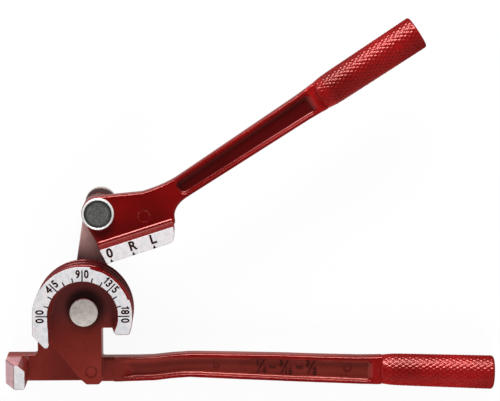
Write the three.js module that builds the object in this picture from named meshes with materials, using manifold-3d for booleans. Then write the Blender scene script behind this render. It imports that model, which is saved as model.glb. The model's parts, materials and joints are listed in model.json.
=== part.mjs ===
// Lever tube bender with three stacked grooves, lying on its back.
// Millimetres. The origin is on the bench, under the axis of the centre pin.
// X runs along the lower handle, Y towards the upper handle, Z up out of the dial.
import * as THREE from 'three';
import { mergeVertices } from 'three/addons/utils/BufferGeometryUtils.js';
import Module from 'manifold-3d';

const wasm = await Module();
wasm.setup();

// Clearances
const pinClearance = 0.25;
const faceClearance = 0.2;
const tubeClearance = 0.37;
const swingClearance = 0.5;
const overrun = 1;
const seamOverlap = 0.3;

// Tubes that the bender takes, from the back groove to the front one
const backTube = 9.53;
const middleTube = 7.94;
const frontTube = 6.35;

// Pins, rings, washers and link, from the bench upwards
const pinRadius = 5;
const pinChamfer = 0.4;
const tailLength = 0.6;
const ringThickness = 1.2;
const ringGrooveDepth = 0.7;
const ringWidth = 2.3;
const ringMouthDegrees = 64;
const ringEarRadius = 1.6;
const ringEarHole = 0.7;
const washerThickness = 1.2;
const washerRadius = 9;
const thrustWasherThickness = 1.2;
const thrustWasherRadius = 9.6;
const linkThickness = 5;
const linkHalfWidth = 10;
const linkTopOverhang = 3;
const linkEdge = 0.6;

// Pin heads
const centreHeadRadius = 8.9;
const centreHeadHeight = 3.2;
const centreHeadEdge = 0.35;
const upperHeadRadius = 10;
const upperHeadHeight = 3;
const upperHeadEdge = 1.45;

// Former: the round part with the dial
const formerRadius = 31.4;
const flangeThickness = 2.2;
const grooveSeat = 0.1;
const dialBandWidth = 9.4;
const cupDepth = 18.2;
const cupDraft = 1.6;
const formerEndDrop = 12;
const floorEndDrop = 10.5;
const hubRadius = 11.5;

// Left leg of the former, which ends in a pointed tail
const tailDrop = 20.2;
const tailTipInset = 8.3;
const tailTipRadius = 1.9;
const tailSlantDegrees = 45;
const legInnerDraft = 0.9;

// Web between the former and the bar
const webRight = 11;
const webLeftTop = 19.8;
const webLeftTopDrop = 21.8;
const webFootLeft = 3;
const webFootDrop = 43.2;
const webFootWidth = 9.8;
const webFootCorner = 2;
const webFootInset = 0.5;

// Bar under the former, with the plate that joins it to the hub
const barDrop = 30.3;
const barHeight = 17.1;
const barThickness = 11.5;
const castingEdge = 1.2;
const flankInset = 0.8;
const flankFillet = 2.2;

// Hook that holds the tube's end
const hookGap = 5;
const hookWidth = 6.7;
const hookBevelRun = 6.9;
const hookBevelDepth = 20;
const hookCornerRun = 4.3;
const hookCornerDrop = 3.7;
const hookFootCorner = 0.7;
const hookTopInset = 0.5;
const hookFootInset = 1.1;

// Lower handle
const handleAxisDrop = 35.25;
const handleDegrees = -2.03;
const handleRootDrop = 40.25;
const handleRootHeight = 15.8;
const handleNeckHeight = 14.6;
const handleGripHeight = 17.4;
const jogStart = 38;
const jogEnd = 70;
const handleGripStart = 190.5;

// Grips
const gripLength = 73.6;
const gripRootRadius = 10.3;
const gripEndRadius = 11;
const gripConeLength = 4;
const gripConeInset = 2.1;
const gripEndEdge = 1.6;
const gripCoreLength = 6;

// Panels sunk into both faces of each handle
const panelDepth = 3.2;
const panelRim = 2.5;
const panelFloorRadius = 1.4;
const panelRamp = 3.6;
const handlePanelStart = 22.5;
const handlePanelEnd = 184.9;
const leverPanelStart = 50;
const leverPanelEnd = 147.5;

// Shoe on the upper handle; its face runs along x of the handle's own frame
const shoeReach = 30.7;
const shoeGap = 2.1;
const bandHeight = 9.5;
const bandStep = 8.1;
const bandStepDraft = 1.6;
const shoeLeft = 4;
const shoeRight = 41.6;
const shoeRightLean = 1.4;
const shoeCorner = 4.6;
const shoeRibWidth = 11;

// Plate and lever of the upper handle
const leverThickness = 12;
const leverDegrees = 15.45;
const leverOffset = 15.05;
const leverNeckStart = 54.4;
const leverNeckHeight = 14.1;
const leverGripHeight = 17.5;
const leverGripStart = 156;
const bossRadius = 10.5;
const plateDipPlace = 30;
const plateDipHeight = 4.2;
const plateRisePlace = 44;
const plateRiseHeight = 3.8;
const plateHeelReach = 1.2;
const plateHeelPlace = 44.6;
const plateHeelDrop = 9.6;

// Pose at rest
const linkDegrees = 81.2;
const shoeDegrees = 17.8;

// Faceting
const roundSteps = 72;
const smallRoundSteps = 40;
const grooveSteps = 8;
const cornerSteps = 5;
const edgeSteps = 2;
const handleSteps = 14;
const mergeTolerance = 0.004;

// Heights that follow from the sizes above
const ringFront = tailLength + ringThickness;
const washerBack = ringFront + faceClearance;
const linkBack = washerBack + washerThickness + faceClearance;
const linkFront = linkBack + linkThickness;
const thrustBack = linkFront + faceClearance;
const hubBack = thrustBack + thrustWasherThickness + faceClearance;
const handleAxisHeight = gripEndRadius;
const barBack = handleAxisHeight - barThickness / 2;
const barFront = barBack + barThickness;
const shoeBack = barFront + swingClearance;
const grooveWidths = [backTube, middleTube, frontTube].map((tube) => tube + tubeClearance);
const formerBack = barFront;
const grooveStack = grooveWidths.reduce((sum, width) => sum + width + flangeThickness, flangeThickness);
const dialFront = formerBack + grooveStack;
const cupFloor = dialFront - cupDepth;
const cupRadius = formerRadius - dialBandWidth;
const plateFront = dialFront - bandStep;
const plateBack = plateFront - leverThickness;
const leverAxisHeight = plateFront - leverThickness / 2;
const boreRadius = pinRadius + pinClearance;
const linkLength = formerRadius + shoeReach + shoeGap;
const handleSlope = Math.tan(THREE.MathUtils.degToRad(handleDegrees));

// Solids from three.js geometry
function signedVolume(position, index) {
  const a = new THREE.Vector3();
  const b = new THREE.Vector3();
  const c = new THREE.Vector3();
  let sum = 0;
  for (let i = 0; i < index.length; i += 3) {
    a.fromBufferAttribute(position, index[i]);
    b.fromBufferAttribute(position, index[i + 1]);
    c.fromBufferAttribute(position, index[i + 2]);
    sum += a.dot(b.cross(c));
  }
  return sum;
}

function toSolid(geometry) {
  geometry.deleteAttribute('normal');
  geometry.deleteAttribute('uv');
  const merged = mergeVertices(geometry);
  const position = merged.getAttribute('position');
  const index = Array.from(merged.index.array);
  const outward = signedVolume(position, index) > 0;
  const triangles = [];
  for (let i = 0; i < index.length; i += 3) {
    const [a, b, c] = index.slice(i, i + 3);
    if (a !== b && b !== c && c !== a) triangles.push(...(outward ? [a, b, c] : [a, c, b]));
  }
  const mesh = new wasm.Mesh({
    numProp: 3,
    vertProperties: new Float32Array(position.array),
    triVerts: new Uint32Array(triangles),
  });
  return new wasm.Manifold(mesh);
}

function toMesh(name, solid, material) {
  const { vertProperties, triVerts } = solid.simplify(mergeTolerance).getMesh();
  const geometry = new THREE.BufferGeometry();
  geometry.setAttribute('position', new THREE.BufferAttribute(vertProperties, 3));
  geometry.setIndex(new THREE.BufferAttribute(triVerts, 1));
  geometry.computeVertexNormals();
  const mesh = new THREE.Mesh(geometry, material);
  mesh.name = name;
  return mesh;
}

function prism(shape, low, high, curveSegments = cornerSteps) {
  const depth = high - low;
  const geometry = new THREE.ExtrudeGeometry(shape, { depth, bevelEnabled: false, curveSegments });
  return toSolid(geometry.translate(0, 0, low));
}

function edgedPrism(shape, low, high, edge, curveSegments = cornerSteps) {
  const geometry = new THREE.ExtrudeGeometry(shape, {
    depth: high - low - 2 * edge,
    bevelThickness: edge,
    bevelSize: edge,
    bevelOffset: -edge,
    bevelSegments: edgeSteps,
    curveSegments,
  });
  return toSolid(geometry.translate(0, 0, low + edge));
}

function box(x0, x1, y0, y1, z0, z1) {
  const geometry = new THREE.BoxGeometry(x1 - x0, y1 - y0, z1 - z0);
  return toSolid(geometry.translate((x0 + x1) / 2, (y0 + y1) / 2, (z0 + z1) / 2));
}

function turned(profile, steps = smallRoundSteps) {
  const points = profile.map(([radius, z]) => new THREE.Vector2(radius, z));
  return toSolid(new THREE.LatheGeometry(points, steps).rotateX(Math.PI / 2));
}

function rod(radius, low, high, steps = smallRoundSteps) {
  return turned([[0, low], [radius, low], [radius, high], [0, high]], steps);
}

function polygon(points) {
  return new THREE.Shape(points.map(([x, y]) => new THREE.Vector2(x, y)));
}

// Turns a solid drawn along +Z so that it runs along a line in the plane of the handles
function alongHandle(solid, x, y, z, degrees) {
  return solid.rotate([0, 90, 0]).rotate([0, 0, degrees]).translate([x, y, z]);
}

// Rim of the former from its back to the dial: radius and height of each point
function rimProfile() {
  const points = [[formerRadius, formerBack]];
  let z = formerBack + flangeThickness;
  for (const width of grooveWidths) {
    const half = width / 2;
    points.push([formerRadius, z]);
    for (let i = 0; i <= grooveSteps; i++) {
      const angle = (Math.PI * i) / grooveSteps;
      points.push([formerRadius - grooveSeat - half * Math.sin(angle), z + half - half * Math.cos(angle)]);
    }
    points.push([formerRadius, z + width]);
    z += width + flangeThickness;
  }
  points.push([formerRadius, dialFront]);
  return points;
}

// Middle height of each groove
function grooveCentres() {
  let z = formerBack + flangeThickness;
  return grooveWidths.map((width) => {
    const centre = z + width / 2;
    z += width + flangeThickness;
    return centre;
  });
}

// Round part of the former: a full half turn, and the stretch past it on the right
function drum() {
  const whole = turned([[0, formerBack], ...rimProfile(), [0, dialFront]], roundSteps);
  const reach = formerRadius + overrun;
  const upper = box(-reach, reach, -seamOverlap, reach, 0, dialFront + overrun);
  const right = box(0, reach, -formerEndDrop, overrun, 0, dialFront + overrun);
  return whole.intersect(upper.add(right));
}

// Straight leg on the left with the same grooves, cut off slanting to a rounded tail
function leg() {
  const inner = cupRadius - legInnerDraft;
  const profile = [[inner - overrun, formerBack], ...rimProfile(), [inner - overrun, dialFront]];
  const grooved = prism(polygon(profile), 0, tailDrop + overrun).rotate([90, 0, 0]).mirror([1, 0, 0]);
  const outline = new THREE.Shape();
  const tipX = -formerRadius + tailTipInset;
  const tipY = tailTipRadius - tailDrop;
  outline.moveTo(-cupRadius, overrun);
  outline.lineTo(-formerRadius - overrun, overrun);
  outline.lineTo(-formerRadius - overrun, overrun - formerEndDrop);
  outline.lineTo(-formerRadius, -formerEndDrop);
  const slant = Math.PI + THREE.MathUtils.degToRad(tailSlantDegrees);
  outline.lineTo(tipX + tailTipRadius * Math.cos(slant), tipY + tailTipRadius * Math.sin(slant));
  outline.absarc(tipX, tipY, tailTipRadius, slant, 0, false);
  outline.lineTo(-inner, tipY);
  return grooved.intersect(prism(outline, 0, dialFront + overrun));
}

// Cup round the centre pin's head
function cupCutter() {
  const cone = turned([
    [0, cupFloor],
    [cupRadius - cupDraft, cupFloor],
    [cupRadius, dialFront],
    [cupRadius, dialFront + overrun],
    [0, dialFront + overrun],
  ], roundSteps);
  const notch = box(webRight, cupRadius - cupDraft, -formerEndDrop - overrun, -floorEndDrop, 0, dialFront);
  return cone.add(notch);
}

// Raised web that carries the former and narrows to a foot at the bar's lower edge
function web() {
  const footBottom = -barDrop - barHeight + webFootInset;
  return prism(polygon([
    [-cupRadius, 0],
    [-formerRadius + tailTipInset, -tailDrop + tailTipRadius],
    [-webLeftTop, -webLeftTopDrop],
    [-webFootLeft, -webFootDrop],
    [webRight - webFootWidth, footBottom],
    [webRight - webFootCorner, footBottom],
    [webRight, footBottom + webFootCorner],
    [webRight, 0],
  ]), barFront, cupFloor);
}

// Bar from the hook to the web, and the plate that rises from it behind the former
function bar() {
  const left = -formerRadius - hookGap - hookWidth - hookBevelRun;
  const flank = -formerRadius + flankInset;
  const top = -barDrop;
  const outline = new THREE.Shape();
  outline.moveTo(left, top - barHeight);
  outline.lineTo(webRight, top - barHeight);
  outline.lineTo(webRight, -formerEndDrop);
  outline.lineTo(flank, -formerEndDrop);
  outline.lineTo(flank, top + flankFillet);
  outline.absarc(flank - flankFillet, top + flankFillet, flankFillet, 0, -Math.PI / 2, true);
  outline.lineTo(left, top);
  return edgedPrism(outline, barBack, barFront, castingEdge / 2);
}

// Hook: a post beside the tube's path, bevelled towards its outer front edge
function hook() {
  const inner = -formerRadius - hookGap;
  const outer = inner - hookWidth - hookBevelRun;
  const top = -barDrop - hookTopInset;
  const foot = -barDrop - barHeight + hookFootInset;
  const side = prism(polygon([
    [outer, barBack],
    [inner, barBack],
    [inner, dialFront],
    [inner - hookWidth, dialFront],
    [outer, dialFront - hookBevelDepth],
  ]), 0, barHeight).rotate([90, 0, 0]).translate([0, -barDrop, 0]);
  const front = prism(polygon([
    [outer, foot],
    [inner - hookFootCorner, foot],
    [inner, foot + hookFootCorner],
    [inner, top - hookCornerDrop],
    [inner - hookCornerRun, top],
    [outer, top],
  ]), 0, dialFront + overrun);
  return side.intersect(front);
}

// Middle of the lower handle at a distance from the centre pin, and its height there
function handleLine(x) {
  const jog = THREE.MathUtils.smoothstep(x, jogStart, jogEnd);
  const axis = -handleAxisDrop + x * handleSlope;
  const taper = THREE.MathUtils.clamp((x - jogEnd) / (handleGripStart - jogEnd), 0, 1);
  const neck = THREE.MathUtils.lerp(handleNeckHeight, handleGripHeight, taper);
  return {
    centre: THREE.MathUtils.lerp(-handleRootDrop, axis, jog),
    height: THREE.MathUtils.lerp(handleRootHeight, neck, jog),
  };
}

// Outline that follows the lower handle between two places, inset by a rim
function handleOutline(start, end, rim) {
  const places = Array.from({ length: handleSteps + 1 }, (_, i) => {
    const share = i / handleSteps;
    return THREE.MathUtils.lerp(start, end, share * (1 + share) / 2);
  });
  const top = places.map((x) => [x, handleLine(x).centre + handleLine(x).height / 2 - rim]);
  const bottom = places.map((x) => [x, handleLine(x).centre - handleLine(x).height / 2 + rim]);
  return { top, bottom };
}

function handleBody() {
  const { top, bottom } = handleOutline(webRight - overrun, handleGripStart + gripCoreLength, 0);
  return edgedPrism(polygon([...bottom, ...top.reverse()]), barBack, barFront, castingEdge);
}

// Closed outline of a sunk panel with rounded ends, from its top and bottom edges
function panelShape(top, bottom, corner) {
  const shape = new THREE.Shape();
  const [x0, yTop0] = top[0];
  const [x1, yTop1] = top[top.length - 1];
  const yBottom0 = bottom[0][1];
  const yBottom1 = bottom[bottom.length - 1][1];
  shape.moveTo(x0 + corner, yBottom0);
  bottom.slice(1, -1).forEach(([x, y]) => shape.lineTo(x, y));
  shape.lineTo(x1 - corner, yBottom1);
  shape.quadraticCurveTo(x1, yBottom1, x1, yBottom1 + corner);
  shape.lineTo(x1, yTop1 - corner);
  shape.quadraticCurveTo(x1, yTop1, x1 - corner, yTop1);
  top.slice(1, -1).reverse().forEach(([x, y]) => shape.lineTo(x, y));
  shape.lineTo(x0 + corner, yTop0);
  shape.quadraticCurveTo(x0, yTop0, x0, yTop0 - corner);
  shape.lineTo(x0, yBottom0 + corner);
  shape.quadraticCurveTo(x0, yBottom0, x0 + corner, yBottom0);
  return shape;
}

// Solid under the slope by which a panel's floor comes up to the face at its grip end
function panelSlope(end, middle, floor, face) {
  const width = 2 * handleGripHeight;
  return prism(polygon([
    [end - panelRamp, floor],
    [end, face],
    [end + panelRim, face],
    [end + panelRim, 2 * floor - face],
    [end - panelRamp, 2 * floor - face],
  ]), 0, width).rotate([90, 0, 0]).translate([0, middle + width / 2, 0]);
}

// Two cutters that sink a panel from the front and from the back
function panelCutters(shape, back, front, end, middle) {
  const above = edgedPrism(shape, front - panelDepth, front + 2 * panelFloorRadius, panelFloorRadius);
  const below = edgedPrism(shape, back - 2 * panelFloorRadius, back + panelDepth, panelFloorRadius);
  return above.subtract(panelSlope(end, middle, front - panelDepth, front))
    .add(below.subtract(panelSlope(end, middle, back + panelDepth, back)));
}

function handlePanels() {
  const { top, bottom } = handleOutline(handlePanelStart, handlePanelEnd, panelRim);
  const corner = panelRim + panelFloorRadius;
  const { centre } = handleLine(handlePanelEnd);
  return panelCutters(panelShape(top, bottom, corner), barBack, barFront, handlePanelEnd, centre);
}

// Round grip, widening a little to its end; its knurl is cut at full size later
function grip() {
  const slope = (gripEndRadius - gripRootRadius) / gripLength;
  const edgeStart = gripLength - gripEndEdge;
  const profile = [
    [0, 0],
    [gripRootRadius - gripConeInset, 0],
    [gripRootRadius, gripConeLength],
    [gripRootRadius + slope * edgeStart, edgeStart],
  ];
  for (let i = 1; i <= cornerSteps; i++) {
    const angle = (Math.PI / 2) * (i / cornerSteps);
    profile.push([
      gripEndRadius - gripEndEdge * (1 - Math.cos(angle)),
      edgeStart + gripEndEdge * Math.sin(angle),
    ]);
  }
  profile.push([0, gripLength]);
  return turned(profile);
}

function lowerHandle() {
  const { centre } = handleLine(handleGripStart);
  const hub = rod(hubRadius, hubBack, barFront + overrun);
  const bore = rod(boreRadius, 0, dialFront);
  const lowerGrip = alongHandle(grip(), handleGripStart, centre, handleAxisHeight, handleDegrees);
  return drum()
    .add(leg())
    .add(web())
    .subtract(cupCutter())
    .add(bar())
    .add(hook())
    .add(hub)
    .add(handleBody())
    .subtract(handlePanels())
    .add(lowerGrip)
    .subtract(bore);
}

// Upper handle, drawn in its own frame: the pin at the origin, the shoe's face along x

// Frame of the lever: a place along it and across it, as a point of the handle's frame
function leverPoint(along, across) {
  const angle = THREE.MathUtils.degToRad(leverDegrees);
  const side = across - leverOffset;
  return [
    along * Math.cos(angle) - side * Math.sin(angle),
    along * Math.sin(angle) + side * Math.cos(angle),
  ];
}

function leverHeight(along) {
  const share = (along - leverNeckStart) / (leverGripStart - leverNeckStart);
  return THREE.MathUtils.lerp(leverNeckHeight, leverGripHeight, share);
}

// Plate round the pin and over the shoe, running out into the lever
function plateAndLever() {
  const shoeTop = -shoeReach + bandHeight;
  const end = leverGripStart + gripCoreLength;
  const shape = new THREE.Shape();
  shape.moveTo(-shoeLeft, -shoeReach + overrun);
  shape.lineTo(shoeRight - shoeCorner, -shoeReach + overrun);
  shape.lineTo(shoeRight + shoeRightLean, shoeTop);
  shape.lineTo(shoeRight + shoeRightLean + plateHeelReach, shoeTop + plateHeelReach);
  shape.quadraticCurveTo(plateHeelPlace, -plateHeelDrop, ...leverPoint(leverNeckStart, -leverNeckHeight / 2));
  shape.lineTo(...leverPoint(end, -leverGripHeight / 2));
  shape.lineTo(...leverPoint(end, leverGripHeight / 2));
  shape.lineTo(...leverPoint(leverNeckStart, leverNeckHeight / 2));
  shape.quadraticCurveTo(plateRisePlace, plateRiseHeight, plateDipPlace, plateDipHeight);
  const dipDistance = Math.hypot(plateDipPlace, plateDipHeight);
  const bossTop = Math.atan2(plateDipHeight, plateDipPlace) + Math.acos(bossRadius / dipDistance);
  shape.lineTo(bossRadius * Math.cos(bossTop), bossRadius * Math.sin(bossTop));
  shape.absarc(0, 0, bossRadius, bossTop, Math.PI, false);
  return edgedPrism(shape, plateBack, plateFront, castingEdge, 2 * cornerSteps);
}

// Outline of the shoe seen from the dial side
function shoeOutline() {
  const top = -shoeReach + bandHeight + bandStepDraft;
  const left = shoeLeft + (bandHeight * (bossRadius - shoeLeft)) / shoeReach;
  const shape = new THREE.Shape();
  shape.moveTo(-shoeLeft, -shoeReach);
  shape.lineTo(shoeRight - shoeCorner, -shoeReach);
  shape.quadraticCurveTo(shoeRight - shoeRightLean, -shoeReach, shoeRight, -shoeReach + shoeCorner);
  shape.lineTo(shoeRight + shoeRightLean, top);
  shape.lineTo(-left, top);
  return shape;
}

function shoe() {
  const top = -shoeReach + bandHeight;
  const length = shoeRight + shoeRightLean + bossRadius + 2 * overrun;
  const section = prism(polygon([
    [-shoeReach - overrun, shoeBack],
    [top + bandStepDraft, shoeBack],
    [top + bandStepDraft, plateFront],
    [top, dialFront],
    [-shoeReach - overrun, dialFront],
  ]), 0, length).rotate([90, 0, 90]).translate([-bossRadius - overrun, 0, 0]);
  return section.intersect(prism(shoeOutline(), 0, dialFront + overrun));
}

// Grooves along the shoe's face; each is round about the tube that lies in the former
function shoeGrooves() {
  const length = shoeRight + shoeRightLean + bossRadius + 2 * overrun;
  const tubeLine = -shoeReach - shoeGap - grooveSeat;
  const grooves = grooveCentres().map((centre, i) => {
    const cutter = rod(grooveWidths[i] / 2, 0, length, 4 * grooveSteps);
    return alongHandle(cutter, -bossRadius - overrun, tubeLine, centre, 0);
  });
  return grooves.reduce((all, groove) => all.add(groove));
}

function leverPanels() {
  const edge = (sign) => [leverPanelStart, leverNeckStart, leverPanelEnd].map((along) => {
    const half = leverHeight(along) / 2 - panelRim;
    return [along, sign * half];
  });
  const shape = panelShape(edge(1), edge(-1), panelRim + panelFloorRadius);
  return panelCutters(shape, plateBack, plateFront, leverPanelEnd, 0)
    .translate([0, -leverOffset, 0])
    .rotate([0, 0, leverDegrees]);
}

function upperHandle() {
  const boss = rod(bossRadius, hubBack, plateFront - castingEdge);
  const ribBack = -shoeReach + bandHeight;
  const rib = box(-shoeLeft, shoeRibWidth - shoeLeft, ribBack, 0, shoeBack, plateBack + overrun);
  const [gripX, gripY] = leverPoint(leverGripStart, 0);
  const upperGrip = alongHandle(grip(), gripX, gripY, leverAxisHeight, leverDegrees);
  return plateAndLever()
    .subtract(leverPanels())
    .add(shoe())
    .add(boss)
    .add(rib)
    .subtract(shoeGrooves())
    .add(upperGrip)
    .subtract(rod(boreRadius, 0, dialFront));
}

// Flat steel link with round ends and two holes
function link() {
  const end = linkLength + linkTopOverhang;
  const shape = new THREE.Shape();
  shape.moveTo(0, -linkHalfWidth);
  shape.lineTo(end, -linkHalfWidth);
  shape.absarc(end, 0, linkHalfWidth, -Math.PI / 2, Math.PI / 2, false);
  shape.lineTo(0, linkHalfWidth);
  shape.absarc(0, 0, linkHalfWidth, Math.PI / 2, -Math.PI / 2, false);
  const hole = rod(boreRadius, 0, linkFront + overrun);
  return edgedPrism(shape, linkBack, linkFront, linkEdge, 2 * cornerSteps)
    .subtract(hole)
    .subtract(hole.translate([linkLength, 0, 0]));
}

// Headed pin with a groove near its tail for the retaining ring
function pin(headBack, headRadius, headHeight, headEdge) {
  const grooveRadius = pinRadius - ringGrooveDepth;
  return turned([
    [0, 0],
    [pinRadius - pinChamfer, 0],
    [pinRadius, pinChamfer],
    [pinRadius, tailLength],
    [grooveRadius, tailLength],
    [grooveRadius, washerBack],
    [pinRadius, washerBack],
    [pinRadius, headBack],
    [headRadius - headEdge / 2, headBack],
    [headRadius, headBack + headEdge / 2],
    [headRadius, headBack + headHeight - headEdge],
    [headRadius - headEdge * (1 - Math.SQRT1_2), headBack + headHeight - headEdge * (1 - Math.SQRT1_2)],
    [headRadius - headEdge, headBack + headHeight],
    [0, headBack + headHeight],
  ]);
}

function washer(radius, back, thickness) {
  const front = back + thickness;
  return rod(radius, back, front).subtract(rod(boreRadius, back - overrun, front + overrun));
}

// Between the link and the casting that turns against it
function thrustWasher() {
  return washer(thrustWasherRadius, thrustBack, thrustWasherThickness);
}

// Behind the link, where the retaining ring holds it
function tailWasher() {
  return washer(washerRadius, washerBack, washerThickness);
}

// Retaining ring: an open ring with two eared ends, seated in the pin's groove
function retainingRing() {
  const inner = pinRadius - ringGrooveDepth + pinClearance;
  const outer = inner + ringWidth;
  const half = THREE.MathUtils.degToRad(ringMouthDegrees / 2);
  const shape = new THREE.Shape();
  shape.absarc(0, 0, outer, half, 2 * Math.PI - half, false);
  shape.absarc(0, 0, inner, 2 * Math.PI - half, half, true);
  const low = tailLength + faceClearance / 2;
  const high = ringFront;
  let ring = prism(shape, low, high, smallRoundSteps / 2);
  const earPlace = outer - ringEarRadius / 3;
  for (const side of [-1, 1]) {
    const place = [earPlace * Math.cos(half), side * earPlace * Math.sin(half), 0];
    ring = ring.add(rod(ringEarRadius, low, high, 2 * grooveSteps).translate(place));
    ring = ring.subtract(rod(ringEarHole, 0, high + overrun, grooveSteps).translate(place));
  }
  return ring;
}

// Materials
const enamel = new THREE.MeshStandardMaterial({ color: 0x8c1013, roughness: 0.32, metalness: 0.0 });
const linkSteel = new THREE.MeshStandardMaterial({ color: 0x6f6561, roughness: 0.4, metalness: 0.9 });
const paleSteel = new THREE.MeshStandardMaterial({ color: 0xb9b4aa, roughness: 0.45, metalness: 0.85 });
const darkSteel = new THREE.MeshStandardMaterial({ color: 0x6b6d6a, roughness: 0.35, metalness: 0.9 });

// Assembly
const bender = new THREE.Group();

function seatAt(group, x, y, degrees) {
  group.position.set(x, y, 0);
  group.rotation.z = THREE.MathUtils.degToRad(degrees);
  bender.add(group);
}

function place(group, name, solid, material) {
  group.add(toMesh(name, solid, material));
}

const centrePlace = new THREE.Group();
const centreHead = pin(cupFloor + faceClearance, centreHeadRadius, centreHeadHeight, centreHeadEdge);
place(centrePlace, 'lower_handle', lowerHandle(), enamel);
place(centrePlace, 'centre_pin', centreHead, paleSteel);
place(centrePlace, 'centre_thrust_washer', thrustWasher(), paleSteel);
place(centrePlace, 'centre_tail_washer', tailWasher(), paleSteel);
place(centrePlace, 'centre_retaining_ring', retainingRing(), darkSteel);
seatAt(centrePlace, 0, 0, 0);

const linkPlace = new THREE.Group();
place(linkPlace, 'link_bar', link(), linkSteel);
seatAt(linkPlace, 0, 0, linkDegrees);

const linkAngle = THREE.MathUtils.degToRad(linkDegrees);
const upperPlace = new THREE.Group();
const upperHead = pin(plateFront + faceClearance, upperHeadRadius, upperHeadHeight, upperHeadEdge);
place(upperPlace, 'upper_handle', upperHandle(), enamel);
place(upperPlace, 'upper_pin', upperHead, darkSteel);
place(upperPlace, 'upper_thrust_washer', thrustWasher(), paleSteel);
place(upperPlace, 'upper_tail_washer', tailWasher(), paleSteel);
place(upperPlace, 'upper_retaining_ring', retainingRing(), darkSteel);
seatAt(upperPlace, linkLength * Math.cos(linkAngle), linkLength * Math.sin(linkAngle), shoeDegrees);

export default bender;
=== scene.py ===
"""Looks of a lever tube bender for three tube sizes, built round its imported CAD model."""
import json
import math

import bmesh
import bpy
import numpy as np
from mathutils import Matrix, Vector


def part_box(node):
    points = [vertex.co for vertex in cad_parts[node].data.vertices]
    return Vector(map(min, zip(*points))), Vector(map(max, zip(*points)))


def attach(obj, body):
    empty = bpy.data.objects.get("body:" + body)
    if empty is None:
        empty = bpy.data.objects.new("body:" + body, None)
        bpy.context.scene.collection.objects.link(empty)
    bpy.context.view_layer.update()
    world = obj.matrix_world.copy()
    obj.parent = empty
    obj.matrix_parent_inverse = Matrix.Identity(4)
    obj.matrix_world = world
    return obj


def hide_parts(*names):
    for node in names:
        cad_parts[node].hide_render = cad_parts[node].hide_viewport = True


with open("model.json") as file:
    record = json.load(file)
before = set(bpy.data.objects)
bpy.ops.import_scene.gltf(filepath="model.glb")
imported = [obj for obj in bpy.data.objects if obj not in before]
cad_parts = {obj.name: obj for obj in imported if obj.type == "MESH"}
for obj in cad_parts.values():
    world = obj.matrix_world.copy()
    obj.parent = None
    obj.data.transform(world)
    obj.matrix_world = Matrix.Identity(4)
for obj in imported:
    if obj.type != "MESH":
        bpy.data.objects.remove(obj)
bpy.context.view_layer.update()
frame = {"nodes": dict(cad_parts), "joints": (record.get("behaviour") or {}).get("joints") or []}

MM = 0.001


def mm(*lengths):
    """The lengths, given in millimetres, in metres."""
    return tuple(length * MM for length in lengths)


nodes = frame["nodes"]
joints = {joint["name"]: joint for joint in frame["joints"]}
ROOT_BODY = "former_and_lower_handle"
LINK_BODY = "link"
UPPER_BODY = "shoe_and_upper_handle"

# Heights and places that the looks share with the CAD model
DIAL_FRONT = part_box("lower_handle")[1].z
UPPER_PIN = Vector(joints["upper_handle_swing"]["pos_m"]).to_2d()
SHOE_ANGLE = math.radians(17.8)
LINK_ANGLE = math.atan2(UPPER_PIN.y, UPPER_PIN.x)
LEVER_ANGLE = math.radians(15.45)
LEVER_OFFSET = 15.05 * MM
LEVER_AXIS_HEIGHT = 36.38 * MM
BAR_FRONT = 16.75 * MM
PLATE_FRONT = 42.38 * MM
WEB_FRONT = 32.28 * MM
FORMER_RADIUS = 31.4 * MM
CUP_RADIUS = 22 * MM
SHOE_REACH = 30.7 * MM
HOOK_FACE = -36.4 * MM
HANDLE_ANGLE = math.radians(-2.03)
HANDLE_AXIS_DROP = 35.25 * MM
PANEL_DEPTH = 3.2 * MM
PANEL_FLOOR = BAR_FRONT - PANEL_DEPTH

# Grips
GRIP_LENGTH = 72.6 * MM
GRIP_ROOT_RADIUS = 10.3 * MM
GRIP_END_RADIUS = 10.9 * MM
GRIP_EDGE = 1.9 * MM
GRIP_CONE = 5.5 * MM
LOWER_CONE_INSET = 0.9 * MM
UPPER_CONE_INSET = 0.95 * MM
GRIP_CONE_BLEND = 0.25 * MM
# The grip starts inside the bar, as flat as the bar, and is round from GRIP_ROUND_FROM on
GRIP_LEAD = 3.4 * MM
GRIP_START_HEIGHT = 5.5 * MM
GRIP_ROUND_FROM = 0.6 * MM
GRIP_CUT_BEFORE = 0.2 * MM
GRIP_EDGE_STEPS = 8
GRIP_SHARP_ANGLE = math.radians(60)
# The ejector pin's mark on each grip: a flat pad in the knurl
PAD_ALONG = 57 * MM
PAD_EDGE = mm(2.1, 3.0)
PAD_DEPTH = 0.6 * MM
LOWER_GRIP_START = Vector((190.5, -42.0, 11)) * MM
UPPER_GRIP_ALONG = 156 * MM

# Castings
CAST_VOXEL = 0.45 * MM
CAST_SMOOTHING = 6
SHARP_ANGLE = math.radians(40)
LETTER_VOXEL = 0.1 * MM
LETTER_SMOOTHING = 2
BOX_MARGIN = 0.001 * MM
# The ejector pins' marks: depth, width of the sloping edge, and how far off the face they still press
PRESS_DEPTH = 0.2 * MM
PRESS_EDGE = 0.9 * MM
PRESS_BELOW = mm(0.5, 0.2)
PRESS_ABOVE = 0.1 * MM
# Each mark, as (x, y, height of the face, radius)
WEB_MARK = (4.2 * MM, -38.7 * MM, WEB_FRONT, 3.9 * MM)
PANEL_MARK = (168.4 * MM, -40.7 * MM, PANEL_FLOOR, 2.8 * MM)
PANEL_SMALL_MARK = (83.8 * MM, -38.7 * MM, PANEL_FLOOR, 2.1 * MM)
LOWER_MARKS = (WEB_MARK, PANEL_MARK, PANEL_SMALL_MARK)
# In the upper handle's own frame: its mark, and the foot of the wall of the shoe's white band
PLATE_MARK = (26.7 * MM, -10.3 * MM, PLATE_FRONT, 4.1 * MM)
STEP_FOOT = -19.6 * MM
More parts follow.
